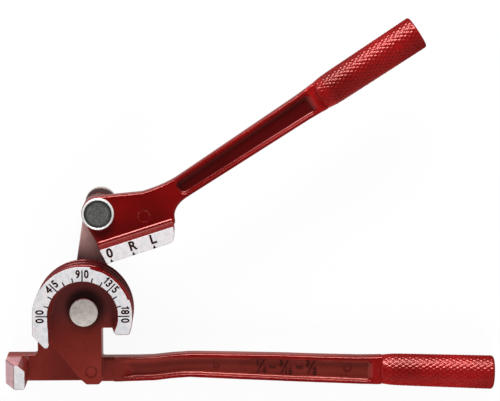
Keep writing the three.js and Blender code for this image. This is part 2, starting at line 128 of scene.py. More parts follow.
# The shelf's outline, as (distance from the wall's foot, height above the plate)
SHELF_SECTION = ((2.5 * MM, 0), mm(2.05, 0.8), mm(0.1, 1.05), mm(-0.1, 2.4))
SHELF_OVERLAP = 0.8 * MM
SHELF_ENDS = mm(-6.4, 42.8)
# How far the lower handle stands out past its CAD edges, as (x, lower edge, upper edge) in mm
HANDLE_SWELL = (
    (40, 0, 0), (58, 0.5, 0.15), (73, 0.93, 0.3), (99, 1.05, 0.4), (121, 1.0, 0.36), (150, 0.98, 0),
    (176, 0.9, -0.1), (187, 0.75, 0.2), (190.5, 0.5, 0.4), (193, 0, 0),
)
# Distances from the bar's axis at which the swell starts and is full
HANDLE_SWELL_OFF = mm(1.5, 5.5)
# Where the lower handle's panel rises slowly out of its floor, and the points that may take part
PANEL_RISE = mm(21.5, 33)
PANEL_RISE_REACH = mm(18, 60)
PANEL_RISE_BELOW = 0.4 * MM
# Where both bars' rims are rounder, along each bar, and how many times they are smoothed
SOFT_BAR_PLACES = mm(19, 24, 184, 188)
SOFT_BAR_HEIGHTS = (PANEL_FLOOR - 1.6 * MM, PANEL_FLOOR - 0.6 * MM)
SOFT_LEVER_PLACES = mm(46, 54, 148, 153)
SOFT_ROUNDS = 9
SOFT_LEVER_ROUNDS = 8
# How far the grip's end of the lever's panel lies past its CAD place, and where that shift starts and stops
PANEL_SHIFT = 3.7 * MM
PANEL_SHIFT_PLACES = mm(70, 142, 147.6, 155.6)
# How far each side of the lever swells out, from where to where along it, and how far off its axis
LEVER_FLARE = 0.45 * MM
LEVER_FLARE_PLACES = mm(136, 155)
LEVER_FLARE_OFF = mm(3, 7)


# Places


def moved(x, y, z):
    return Matrix.Translation((x, y, z))


def upper_matrix():
    """From the upper handle's own frame, with the pin at its origin and x along the shoe's face."""
    return moved(UPPER_PIN.x, UPPER_PIN.y, 0) @ Matrix.Rotation(SHOE_ANGLE, 4, "Z")


def lever_matrix():
    """From a frame on the lever's axis, with x along the lever from abreast of the pin."""
    turn = Matrix.Rotation(LEVER_ANGLE, 4, "Z")
    return upper_matrix() @ turn @ moved(0, -LEVER_OFFSET, LEVER_AXIS_HEIGHT)


def lower_grip_matrix():
    return Matrix.Translation(LOWER_GRIP_START) @ Matrix.Rotation(HANDLE_ANGLE, 4, "Z")


def upper_grip_matrix():
    return lever_matrix() @ moved(UPPER_GRIP_ALONG, 0, 0)


# Meshes


def add_object(name, data, matrix=Matrix.Identity(4)):
    made = bpy.data.objects.new(name, data)
    bpy.context.scene.collection.objects.link(made)
    made.matrix_world = matrix
    return made


def bake(piece, kind, **settings):
    """Adds a modifier of that kind to the piece and applies it."""
    modifier = piece.modifiers.new(kind.lower(), kind)
    for key, value in settings.items():
        setattr(modifier, key, value)
    shaped = piece.evaluated_get(bpy.context.evaluated_depsgraph_get())
    mesh = bpy.data.meshes.new_from_object(shaped)
    piece.modifiers.clear()
    piece.data = mesh


def melt(piece, voxel, rounds):
    """Remeshes the piece's closed bodies into one skin, and smooths it that many times."""
    bake(piece, "REMESH", mode="VOXEL", voxel_size=voxel)
    bake(piece, "SMOOTH", factor=0.5, iterations=rounds)


def mesh_alone(piece):
    """The piece's mesh. The piece itself is removed."""
    mesh = piece.data
    bpy.data.objects.remove(piece)
    return mesh


def shade(mesh, angle=SHARP_ANGLE):
    """Smooth shading, with a sharp edge where faces meet at more than the angle."""
    mesh.shade_smooth()
    mesh.set_sharp_from_angle(angle=angle)


def mesh_from(name, vertices, faces):
    mesh = bpy.data.meshes.new(name)
    mesh.from_pydata([tuple(v) for v in vertices], [], faces)
    mesh.update()
    return mesh


def box_mesh(name, size):
    """A box with its middle at the origin."""
    bm = bmesh.new()
    bmesh.ops.create_cube(bm, size=1, matrix=Matrix.Diagonal((*size, 1)))
    mesh = bpy.data.meshes.new(name)
    bm.to_mesh(mesh)
    bm.free()
    return mesh


def rings_mesh(name, rings):
    """A closed body through rings of points. The first and the last ring are single points."""
    vertices, faces = list(rings[0]), []
    for before, ring in zip(rings, rings[1:]):
        low, high = len(vertices) - len(before), len(vertices)
        vertices += ring
        around = max(len(before), len(ring))
        for i in range(around):
            j = (i + 1) % around
            if len(before) == 1:
                faces.append((low, high + j, high + i))
            elif len(ring) == 1:
                faces.append((low + i, low + j, high))
            else:
                faces.append((low + i, low + j, high + j, high + i))
    return mesh_from(name, vertices, faces)


def turned_mesh(name, profile, steps=128):
    """A closed body of revolution about z from (radius, height) points, which start and end on the axis."""
    turns = [2 * math.pi * i / steps for i in range(steps)]
    rings = []
    for radius, height in profile:
        ring = [(radius * math.cos(turn), radius * math.sin(turn), height) for turn in turns]
        rings.append(ring if radius else [(0, 0, height)])
    return rings_mesh(name, rings)


def text_mesh(body, height, depth, weight, narrowing):
    """Closed solid letters round x 0 and y 0, standing on z 0, with figures of the given height."""
    figure_share = 0.73
    curve = bpy.data.curves.new("letters", "FONT")
    curve.body = body
    curve.size = height / figure_share
    curve.extrude = depth / 2
    curve.offset = weight
    curve.resolution_u = 5
    curve.align_x = "CENTER"
    letters = add_object("letters", curve)
    shaped = letters.evaluated_get(bpy.context.evaluated_depsgraph_get())
    mesh = bpy.data.meshes.new_from_object(shaped)
    bpy.data.objects.remove(letters)
    mesh.transform(Matrix.Diagonal((narrowing, 1, 1, 1)) @ moved(0, -height / 2, depth / 2))
    solid = add_object("letters", mesh)
    melt(solid, LETTER_VOXEL, LETTER_SMOOTHING)
    return mesh_alone(solid)


def joined(name, placed):
    """One object from (mesh, matrix) pairs."""
    bm = bmesh.new()
    for mesh, matrix in placed:
        part = mesh.copy()
        part.transform(matrix)
        bm.from_mesh(part)
        bpy.data.meshes.remove(part)
    mesh = bpy.data.meshes.new(name)
    bm.to_mesh(mesh)
    bm.free()
    return add_object(name, mesh)


def cut(piece, cutter, operation="DIFFERENCE"):
    """Cuts the cutter out of the piece, or joins it on."""
    bake(piece, "BOOLEAN", operation=operation, solver="MANIFOLD", object=cutter)
    bpy.data.objects.remove(cutter)


def vertex_array(mesh):
    points = np.empty(len(mesh.vertices) * 3)
    mesh.vertices.foreach_get("co", points)
    return points.reshape(-1, 3)


def set_vertices(mesh, points):
    mesh.vertices.foreach_set("co", points.ravel())
    mesh.update()


def smooth_step(value, low, high):
    """0 up to low and 1 from high on, with a smooth rise between."""
    share = np.clip((value - low) / (high - low), 0, 1)
    return share * share * (3 - 2 * share)


# Castings


def soft_casting(name, node, frame_matrix, extra=None):
    """A copy of a CAD casting with the soft edges of a die casting, remeshed square to its own frame.

    extra is a closed mesh in that frame, which melts into the casting.
    """
    mesh = nodes[node].data.copy()
    mesh.transform(frame_matrix.inverted())
    placed = [(mesh, Matrix.Identity(4))]
    if extra:
        placed.append((extra, Matrix.Identity(4)))
    piece = joined(name, placed)
    piece.data.materials.clear()
    melt(piece, CAST_VOXEL, CAST_SMOOTHING)
    return piece


def keep_in_box(mesh, node):
    """Moves points that stand microns outside the CAD node's box back onto it."""
    low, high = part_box(node)
    set_vertices(mesh, np.clip(vertex_array(mesh), np.array(low) + BOX_MARGIN, np.array(high) - BOX_MARGIN))


def step_shelf():
    """The narrow shelf between the upper handle's plate and the wall of the shoe's white band."""
    back, low = STEP_FOOT - SHELF_OVERLAP, PLATE_FRONT - SHELF_OVERLAP
    edge = [(STEP_FOOT + away, PLATE_FRONT + rise) for away, rise in SHELF_SECTION]
    section = [(back, low), (edge[0][0], low), *edge, (back, edge[-1][1])]
    count = len(section)
    vertices = [(x, y, z) for x in SHELF_ENDS for y, z in section]
    faces = [tuple(reversed(range(count))), tuple(range(count, 2 * count))]
    for i in range(count):
        j = (i + 1) % count
        faces.append((i, j, count + j, count + i))
    return mesh_from("shelf", vertices, faces)


def clear_grip(piece, matrix):
    """Cuts the plain grip off a casting, where the knurled one takes its place."""
    reach = 3 * GRIP_END_RADIUS
    length = 2 * GRIP_LENGTH
    cutter = box_mesh("grip_cutter", (length, reach, reach))
    cutter.transform(matrix @ moved(length / 2 - GRIP_CUT_BEFORE, 0, 0))
    cut(piece, add_object("grip_cutter", cutter))


def press_mark(points, mark):
    """The shallow round mark that an ejector pin leaves in a flat front face."""
    x, y, height, radius = mark
    start, full = PRESS_BELOW
    away = np.hypot(points[:, 0] - x, points[:, 1] - y)
    on_face = smooth_step(points[:, 2], height - start, height - full)
    sunk = 1 - smooth_step(away, radius - PRESS_EDGE, radius)
    points[:, 2] -= PRESS_DEPTH * sunk * on_face * (points[:, 2] < height + PRESS_ABOVE)


def swell_handle(points):
    """Makes the lower handle's bar as high as in the photo, which it is not quite in the CAD model."""
    places, lower, upper = (np.array(column) * MM for column in zip(*HANDLE_SWELL))
    x = points[:, 0]
    axis = -HANDLE_AXIS_DROP + x * math.tan(HANDLE_ANGLE)
    off = points[:, 1] - axis
    share = smooth_step(np.abs(off), *HANDLE_SWELL_OFF)
    down = -np.interp(x, places, lower)
    up = np.interp(x, places, upper)
    points[:, 1] += share * np.where(off < 0, down, up)


def open_panel(points):
    """Lets the left end of the lower handle's panel rise slowly out of its floor."""
    x, z = points[:, 0], points[:, 2]
    first, last = PANEL_RISE_REACH
    in_panel = (z > PANEL_FLOOR - PANEL_RISE_BELOW) & (z < BAR_FRONT) & (x > first) & (x < last)
    depth = (BAR_FRONT - z) * smooth_step(x, *PANEL_RISE)
    points[:, 2] = np.where(in_panel, BAR_FRONT - depth, z)


def soften(mesh, points, share, rounds):
    """Rounds the mesh off where share is above 0: each round moves a point half way to its neighbours."""
    ends = np.empty(2 * len(mesh.edges), dtype=np.int32)
    mesh.edges.foreach_get("vertices", ends)
    first, second = ends.reshape(-1, 2).T
    count = len(points)
    neighbours = np.bincount(ends, minlength=count)
    for _ in range(rounds):
        for axis in range(3):
            values = points[:, axis]
            total = np.bincount(first, values[second], count) + np.bincount(second, values[first], count)
            points[:, axis] = values + 0.5 * share * (total / neighbours - values)


def between(value, first, full, last, end):
    """1 from full to last, falling to 0 at first and end."""
    return smooth_step(value, first, full) * (1 - smooth_step(value, last, end))


def shape_lever_end(points, frame_matrix):
    """Moves the grip's end of the lever's panel along the lever, and widens the lever a little there.

    The points lie in frame_matrix's frame. Gives their places along the lever.
    """
    to_lever = np.array(lever_matrix().inverted() @ frame_matrix)
    along = points @ to_lever[0, :3] + to_lever[0, 3]
    first, full, last, end = PANEL_SHIFT_PLACES
    share = smooth_step(along, first, full) * (1 - np.clip((along - last) / (end - last), 0, 1))
    across = points @ to_lever[1, :3] + to_lever[1, 3]
    wider = smooth_step(along, *LEVER_FLARE_PLACES) * smooth_step(np.abs(across), *LEVER_FLARE_OFF)
    points += np.outer(share * PANEL_SHIFT, to_lever[0, :3])
    points += np.outer(np.sign(across) * wider * LEVER_FLARE, to_lever[1, :3])
    return along


# Knurled grips

KNURL_STARTS = 26
KNURL_PITCH = 4.4 * MM
KNURL_DEPTH = 0.27 * MM
# Along the grip, where the knurl's relief grows out of the cone and where it runs out at the end
KNURL_START = (0.1 * GRIP_CONE, 0.6 * GRIP_CONE)
KNURL_END = (GRIP_LENGTH - GRIP_EDGE - 0.6 * MM, GRIP_LENGTH - 0.3 * GRIP_EDGE)
GRIP_AROUND = KNURL_STARTS * 12
GRIP_ALONG = 210


def knurl(angle, along):
    """Height share of a diamond knurl of small pillows, 0 in its grooves and 1 on its crowns."""
    turn = KNURL_STARTS * angle / (2 * math.pi)
    rise = 1
    for family in (turn + along / KNURL_PITCH, turn - along / KNURL_PITCH):
        rise = rise * np.abs(np.sin(math.pi * family))
    return rise


def grip_radius(along, cone_inset):
    """Radius of the grip's crowns: a short cone, a slow taper and a rounded end."""
    plain = GRIP_ROOT_RADIUS + (GRIP_END_RADIUS - GRIP_ROOT_RADIUS) * along / GRIP_LENGTH
    cone = GRIP_ROOT_RADIUS - cone_inset * (1 - along / GRIP_CONE)
    apart = (plain - cone) / 2
    plain = (plain + cone) / 2 - np.sqrt(apart * apart + GRIP_CONE_BLEND ** 2)
    past = np.clip((along - (GRIP_LENGTH - GRIP_EDGE)) / GRIP_EDGE, 0, 1)
    return plain - GRIP_EDGE * (1 - np.sqrt(1 - past * past))


def knurled_grip(name, matrix, cone_inset):
    """A closed grip with its knurl as real relief, which grows out of the flat bar at the bar's height."""
    even = np.linspace(-GRIP_LEAD, GRIP_LENGTH - GRIP_EDGE, GRIP_ALONG)
    turn = np.linspace(0, math.pi / 2, GRIP_EDGE_STEPS)[1:]
    along = np.concatenate([even, GRIP_LENGTH - GRIP_EDGE * (1 - np.sin(turn))])
    angle = np.arange(GRIP_AROUND) * 2 * math.pi / GRIP_AROUND
    along_grid, angle_grid = np.meshgrid(along, angle, indexing="ij")
    fade = smooth_step(along_grid, *KNURL_START) * (1 - smooth_step(along_grid, *KNURL_END))
    relief = KNURL_DEPTH * (1 - knurl(angle_grid, along_grid)) * fade
    radius = grip_radius(along_grid, cone_inset) - relief
    x, y, z = along_grid, radius * np.sin(angle_grid), radius * np.cos(angle_grid)
    flat = smooth_step(-along_grid, -GRIP_ROUND_FROM, GRIP_LEAD)
    z = z * (1 - flat * (1 - GRIP_START_HEIGHT / radius))
    pad = (1 - smooth_step(np.hypot(x - PAD_ALONG, y), *PAD_EDGE)) * (z > 0)
    z = z + pad * (grip_radius(PAD_ALONG, cone_inset) - PAD_DEPTH - z)
    rings = np.stack([x, y, z], axis=-1).tolist()
    rings = [[(along[0], 0, 0)], *rings, [(along[-1], 0, 0)]]
    grip = add_object(name, rings_mesh(name, rings), matrix)
    bm = bmesh.new()
    bm.from_mesh(grip.data)
    bmesh.ops.recalc_face_normals(bm, faces=bm.faces)
    bm.to_mesh(grip.data)
    bm.free()
    shade(grip.data, GRIP_SHARP_ANGLE)
    return grip


# Marks

FIGURE_HEIGHT = 5.1 * MM
FIGURE_WEIGHT = 0.27 * MM
STROKE_WIDTH = 0.92 * MM
FIGURE_NARROWING = 0.82
LETTER_HEIGHT = 5.9 * MM
LETTER_WEIGHT = 0.31 * MM
LETTER_NARROWING = 0.95
MARK_DEPTH = 0.45 * MM
MARK_OVERRUN = 1 * MM
TICK_WIDTH = 0.85 * MM
FIGURE_RING = 26.8 * MM
FIGURE_GAP = 1.1 * MM
LONG_TICK_END = 29.2 * MM
SHORT_TICK_END = 24.9 * MM
# The figures before and after the long tick at each of these angles
DIAL_FIGURES = {0: ("0", "0"), 45: ("4", "5"), 90: ("9", "0"), 135: ("13", "5"), 180: ("18", "0")}
TICK_STEP = 15
# Figures drawn as strokes, as (x, y) points in shares of the figures' height
STROKE_FIGURES = {
    "1": ((0.3, 0, 0.3, 1), (0.3, 0.98, 0.1, 0.78)),
    "4": ((0.5, 1, 0.04, 0.3), (0.04, 0.3, 0.68, 0.3), (0.5, 1, 0.5, 0)),
}
STROKE_ADVANCE = {"1": 0.5, "4": 0.72}
FONT_ADVANCE = 0.62


def stroke_mesh(start, end, width, depth):
    """A straight stroke with square ends, from start to end."""
    way = end - start
    long_box = box_mesh("stroke", (way.length + width, width, depth))
    middle = (start + end) / 2
    turn = Matrix.Rotation(math.atan2(way.y, way.x), 4, "Z")
    long_box.transform(moved(middle.x, middle.y, depth / 2) @ turn)
    return long_box


def figure_mesh(figure, height, depth):
    """One figure with its left end at x 0 and its middle at y 0, and its width."""
    if figure not in STROKE_FIGURES:
        mesh = text_mesh(figure, height, depth, FIGURE_WEIGHT, FIGURE_NARROWING)
        width = FONT_ADVANCE * height
        mesh.transform(moved(width / 2, 0, 0))
        return mesh, width
    drop = Vector((0, height / 2))
    reach = height - STROKE_WIDTH
    base = Vector((STROKE_WIDTH / 2, STROKE_WIDTH / 2))
    placed = []
    for x0, y0, x1, y1 in STROKE_FIGURES[figure]:
        start = Vector((x0, y0)) * reach + base - drop
        end = Vector((x1, y1)) * reach + base - drop
        placed.append((stroke_mesh(start, end, STROKE_WIDTH, depth), Matrix.Identity(4)))
    solid = joined("figure", placed)
    melt(solid, LETTER_VOXEL, LETTER_SMOOTHING)
    return mesh_alone(solid), STROKE_ADVANCE[figure] * height


def sunk_figures(figures, matrix, ends_here):
    """Cutters for a row of figures that starts or ends at the frame's origin, a mark's depth deep."""
    meshes = [figure_mesh(figure, FIGURE_HEIGHT, 2 * MARK_DEPTH) for figure in figures]
    x = -sum(width for mesh, width in meshes) if ends_here else 0
    placed = []
    for mesh, width in meshes:
        placed.append((mesh, matrix @ moved(x, 0, -MARK_DEPTH)))
        x += width
    return placed


def dial_marks():
    """Cutters for the dial's ticks and numbers: 0 at the left, 180 at the right."""
    placed = []
    inner = CUP_RADIUS - MARK_OVERRUN
    for degrees in range(0, 181, TICK_STEP):
        turn = Matrix.Rotation(math.radians(90 - degrees), 4, "Z")
        at_face = moved(0, 0, DIAL_FRONT) @ turn
        outer = LONG_TICK_END if degrees in DIAL_FIGURES else SHORT_TICK_END
        tick = box_mesh("tick", (TICK_WIDTH, outer - inner, 2 * MARK_DEPTH))
        placed.append((tick, at_face @ moved(0, (outer + inner) / 2, 0)))
        if degrees in DIAL_FIGURES:
            for figures, side in zip(DIAL_FIGURES[degrees], (-1, 1)):
                beside = at_face @ moved(side * FIGURE_GAP, FIGURE_RING, 0)
                placed += sunk_figures(figures, beside, side < 0)
    return joined("dial_marks", placed)


# Figures above and below the slash, and the place along the handle
FRACTIONS = (("1", "4", 112.6 * MM), ("5", "16", 128.0 * MM), ("3", "8", 145.0 * MM))
FRACTION_REACH = mm(106, 152)
FRACTION_HEIGHT = 4.5 * MM
FRACTION_WEIGHT = 0.2 * MM
FRACTION_NARROWING = 0.85
FRACTION_SMOOTHING = 4
FRACTION_RELIEF = 0.5 * MM
FRACTION_LIFT = 0.4 * MM
FRACTION_STEP = Vector((2.3, 2.35)) * MM
SLASH_SIZE = (0.9 * MM, 8.8 * MM, 2 * FRACTION_RELIEF)
SLASH_ANGLE = math.radians(-28)
DASH_PLACES = mm(119.9, 137.3)
DASH_SIZE = (4.6 * MM, 1.2 * MM, 2 * FRACTION_RELIEF)


def tube_sizes():
    """The tubes' sizes in inches, raised from the floor of the lower handle's panel."""
    placed = []
    turn = Matrix.Rotation(HANDLE_ANGLE, 4, "Z")
    on_floor = moved(0, -HANDLE_AXIS_DROP, PANEL_FLOOR) @ turn
    for upper, lower, place in FRACTIONS:
        middle = on_floor @ moved(place, FRACTION_LIFT, 0)
        for figure, side in ((upper, -1), (lower, 1)):
            step = Vector((side * FRACTION_STEP.x, -side * FRACTION_STEP.y, 0))
            depth = 2 * FRACTION_RELIEF
            mesh = text_mesh(figure, FRACTION_HEIGHT, depth, FRACTION_WEIGHT, FRACTION_NARROWING)
            placed.append((mesh, middle @ Matrix.Translation(step - Vector((0, 0, FRACTION_RELIEF)))))
        placed.append((box_mesh("slash", SLASH_SIZE), middle @ Matrix.Rotation(SLASH_ANGLE, 4, "Z")))
    for place in DASH_PLACES:
        placed.append((box_mesh("dash", DASH_SIZE), on_floor @ moved(place, 0, 0)))
    letters = joined("tube_sizes", placed)
    melt(letters, LETTER_VOXEL, FRACTION_SMOOTHING)
    return letters


# Each letter's place along the shoe's face, and its tick's
SHOE_LETTERS = {"0": mm(-0.2, -0.5), "R": mm(14.7, 13.9), "L": mm(28.0, 27.4)}
SHOE_LETTER_LINE = -24.5 * MM
WEDGE_SIZE = mm(2.3, 2.5)


def shoe_marks():
    """Cutters for the shoe's letters and the wedge-shaped ticks at its face."""
    placed = []
    at_face = upper_matrix() @ moved(0, 0, DIAL_FRONT)
    width, height = WEDGE_SIZE
    for letter, (place, tick) in SHOE_LETTERS.items():
        middle = at_face @ moved(place, SHOE_LETTER_LINE, -MARK_DEPTH)
        mesh = text_mesh(letter, LETTER_HEIGHT, 2 * MARK_DEPTH, LETTER_WEIGHT, LETTER_NARROWING)
        placed.append((mesh, middle))
        low, high = -SHOE_REACH - MARK_OVERRUN, -SHOE_REACH + height
        outline = [(tick - width / 2, low), (tick + width / 2, low), (tick, high)]
        corners = [(x, y, z) for z in (-MARK_DEPTH, MARK_DEPTH) for x, y in outline]
        faces = [(2, 1, 0), (3, 4, 5), (0, 1, 4, 3), (1, 2, 5, 4), (2, 0, 3, 5)]
        placed.append((mesh_from("wedge", corners, faces), at_face))
    return joined("shoe_marks", placed)


# Materials


class Value:
    """What a node gives. It takes part in sums, which make more nodes."""

    def __init__(self, graph, socket):
        self.graph = graph
        self.socket = socket

    def __add__(self, other):
        return self.graph.calc("ADD", self, other)

    def __sub__(self, other):
        return self.graph.calc("SUBTRACT", self, other)

    def __rsub__(self, other):
        return self.graph.calc("SUBTRACT", other, self)

    def __mul__(self, other):
        return self.graph.calc("MULTIPLY", self, other)

    def __pow__(self, power):
        return self.graph.calc("POWER", self, power)

    def __abs__(self):
        return self.graph.calc("ABSOLUTE", self)

    def __lt__(self, limit):
        """1 where the value is below the limit, 0 elsewhere."""
        return self.graph.calc("LESS_THAN", self, limit)

    def ramp(self, low, high, start=0.0, end=1.0):
        """A smooth change from start to end as the value goes from low to high."""
        inputs = {"Value": self, "From Min": low, "From Max": high, "To Min": start, "To Max": end}
        return self.graph.make("ShaderNodeMapRange", inputs, interpolation_type="SMOOTHSTEP")

    def fall(self, low, high, start=1.0):
        """A smooth change from start to 0 as the value goes from low to high."""
        return self.ramp(low, high, start, 0.0)


class Graph:
    """A node tree under construction. Inputs may be numbers, colours or values."""

    def __init__(self, tree):
        self.tree = tree

    def put(self, socket, value):
        if isinstance(value, Value):
            self.tree.links.new(value.socket, socket)
        else:
            socket.default_value = value

    def node(self, kind, inputs=(), **settings):
        made = self.tree.nodes.new(kind)
        for key, value in settings.items():
            setattr(made, key, value)
        for key, value in dict(inputs).items():
            self.put(made.inputs[key], value)
        return made

    def make(self, kind, inputs, output=0, **settings):
        """One output of a new node."""
        return Value(self, self.node(kind, inputs, **settings).outputs[output])

    def outputs(self, kind, inputs=()):
        """All outputs of a new node by their names."""
        return {output.name: Value(self, output) for output in self.node(kind, inputs).outputs}

    def split(self, vector):
        return list(self.outputs("ShaderNodeSeparateXYZ", {0: vector}).values())

    def calc(self, operation, *values):
        return self.make("ShaderNodeMath", dict(enumerate(values)), operation=operation)

    def most(self, first, *others):
        """The greatest of the values."""
        for other in others:
            first = self.calc("MAXIMUM", first, other)
        return first

    def length(self, x, y):
        """Length of the arrow (x, y)."""
        return self.calc("SQRT", x ** 2 + y ** 2)

    def mix(self, share, first, second):
        """A colour between two colours."""
        inputs = {"Factor": share, 6: first, 7: second}
        return self.make("ShaderNodeMix", inputs, output=2, data_type="RGBA")

    def blend(self, share, first, second):
        """A number between two numbers."""
        return self.make("ShaderNodeMix", {0: share, 2: first, 3: second})

    def bump(self, height, depth, before=None):
        """The surface's direction with a relief of the given depth, on top of another bump."""
        inputs = {"Height": height, "Distance": depth, "Strength": 1.0}
        if before:
            inputs["Normal"] = before
        return self.make("ShaderNodeBump", inputs)


class Shader(Graph):
    """A material with a principled surface, and the place and direction of the point that it shades."""

    def __init__(self, name):
        self.material = bpy.data.materials.new(name)
        self.material.use_nodes = True
        super().__init__(self.material.node_tree)
        self.surface = self.tree.nodes["Principled BSDF"]
        point = self.outputs("ShaderNodeTexCoord")
        self.place = point["Object"]
        self.x, self.y, self.z = self.split(self.place)
        self.facing = self.split(point["Normal"])
        # 1 on faces that look out of the dial's side, 0 on the others
        self.facing_up = self.facing[2].ramp(0.6, 0.92)

    def set(self, **inputs):
        """Sets the surface's inputs: base_color for Base Color, and so on."""
        names = {socket.name.lower().replace(" ", "_"): socket for socket in self.surface.inputs}
        for key, value in inputs.items():
            self.put(names[key], value)

    def off_line(self, x=0, y=0):
        """Distance from the line along z through (x, y)."""
        return self.length(self.x - x, self.y - y)

    def noise(self, size, detail, roughness=0.5, vector=None):
        """Noise from 0 to 1 with features of about the given size, at the shaded place or at vector."""
        inputs = {"Scale": 1 / size, "Detail": detail, "Roughness": roughness}
        inputs["Vector"] = vector or self.place
        return self.make("ShaderNodeTexNoise", inputs, output="Fac")

    def patches(self, size, detail, low, high, start=0.0, end=1.0):
        """Uneven patches: start where the noise is below low, and end where it is above high."""
        return self.noise(size, detail).ramp(low, high, start, end)


def linear(hex_colour):
    """A colour written as on screen, as the linear values that a shader takes."""
    values = [int(hex_colour[i:i + 2], 16) / 255 for i in (1, 3, 5)]
    return (*[v / 12.92 if v <= 0.04045 else ((v + 0.055) / 1.055) ** 2.4 for v in values], 1)


def darker(colour, share):
    return (*[v * share for v in colour[:3]], 1)


# Red enamel
RED_DEEP = linear("#6c0506")
RED_BRIGHT = linear("#7e0809")
RED_BROWN = linear("#78261f")
RED_DUSTY = linear("#842d26")
RED_MARK_HIGHLIGHT = linear("#96393a")
RED_SHADE = linear("#440a0b")
RED_CUP_SHADE = linear("#6b3436")
RED_GRIME_AND_SHADE = linear("#22080a")
GRIP_RED = linear("#9a1112")
PIN_SHADOW = linear("#1d0908")
FIGURE_SHADE = linear("#4a1513")
# White paint on the dial, the shoe and the hook
PAINT_WHITE = linear("#d2cfd1")
PAINT_GREY = linear("#c0c3c7")
PAINT_THIN = linear("#d39da0")
PAINT_DUSTED = linear("#b9898e")
PAINT_DUSTED_SIDE = linear("#f4ccd2")
PAINT_PINK = linear("#e8dede")
PAINT_WORN = linear("#5e4245")
PAINT_ROUGHNESS = 0.5
# The enamel is a clear red over bright metal, so its reflections are tinted
ENAMEL_METAL = 0.15
ENAMEL_TINT = (1.0, 0.55, 0.5, 1.0)
ENAMEL_SPECULAR = 0.8
ENAMEL_ROUGHNESS = 0.17
# How much smoother the enamel is on the rims
ENAMEL_POLISH = 0.08
GRIP_ROUGHNESS = 0.24


def enamel_colour(shader, deep=RED_DEEP, bright=RED_BRIGHT):
    """Red enamel that varies a little from place to place."""
    tone = shader.mix(shader.patches(30 * MM, 2.0, 0.35, 0.7), deep, bright)
    return shader.mix(shader.patches(3 * MM, 4.0, 0.5, 0.8, 0, 0.3), tone, RED_SHADE)


def bright_enamel(shader):
    return enamel_colour(shader, RED_BRIGHT, GRIP_RED)


def enamel_bump(shader):
    """The skin of a die casting under paint: a low orange peel with a fine grain."""
    peel = shader.noise(1.6 * MM, 2.0)
    grain = shader.noise(0.35 * MM, 3.0)
    return shader.bump(grain, 0.005 * MM, shader.bump(peel, 0.03 * MM))


# How far below the knurl's crowns the grooves' shade starts and is full, and below which is no knurl
GROOVE_SHADE = (0.45 * KNURL_DEPTH, 0.95 * KNURL_DEPTH)
GROOVE_LIMIT = 1.3 * KNURL_DEPTH


def grip_enamel(name, in_grooves):
    """Bright enamel, with painted shade in the knurl's grooves. in_grooves is how dark that shade is, from
    0 to 1.
    """
    shader = Shader(name)
    taper = shader.x * ((GRIP_END_RADIUS - GRIP_ROOT_RADIUS) / GRIP_LENGTH)
    sunk = taper + GRIP_ROOT_RADIUS - shader.length(shader.y, shader.z)
    # Painted shade in the knurl's grooves
    groove = sunk.ramp(*GROOVE_SHADE, 0.0, in_grooves) * (sunk < GROOVE_LIMIT)
    grain = shader.bump(shader.noise(0.4 * MM, 2.0), 0.002 * MM)
    shader.set(base_color=shader.mix(groove, bright_enamel(shader), RED_SHADE), normal=grain)
    shader.set(roughness=GRIP_ROUGHNESS, specular_ior_level=ENAMEL_SPECULAR)
    shader.set(metallic=ENAMEL_METAL, specular_tint=ENAMEL_TINT)
    return shader.material


def ring_mark(shader, mark):
    """1 on the edge of an ejector pin's mark, 0 elsewhere."""
    from_edge = abs(shader.off_line(*mark[:2]) - (mark[3] - PRESS_EDGE / 2))
    return from_edge.fall(0.25 * MM, 0.7 * MM)


# Where the lower handle's tones change, each from the change's start to where it is full. The rims'
# red: along the bar, up from the panel's floor and off the bar's axis
RIMS_ALONG = mm(22, 30)
RIMS_HEIGHT = (PANEL_FLOOR + 0.7 * MM, PANEL_FLOOR + 1.6 * MM)
RIMS_OFF = mm(4.2, 5.2)
# The brighter red near the grip
LOWER_BRIGHT = mm(180, 186)
# The plain red round the former: off its pin and above the bar
FORMER_OFF = mm(23, 25)
FORMER_ABOVE = mm(-12, -6)
# The cup's floor: painted shade towards its top, and a painted shadow round the pin
CUP_FLOOR_TOP = WEB_FRONT + 1 * MM
CUP_SHADE_ABOVE = mm(-14, 4)
CUP_SHADE_SHARE = 0.75
PIN_SHADOW_MIDDLE = mm(0.8, 2.2)
PIN_SHADOW_EDGE = mm(9.5, 15.5)
PIN_DARKENING_SHARE = 0.9
# The fractions' raised faces
FRACTION_RISE = (PANEL_FLOOR + 0.1 * MM, PANEL_FLOOR + 0.3 * MM)
FRACTION_OFF = 4.9 * MM
# How dark the painted shade on the ejector marks' edges is
PRESS_SHADE_SHARE = 0.55


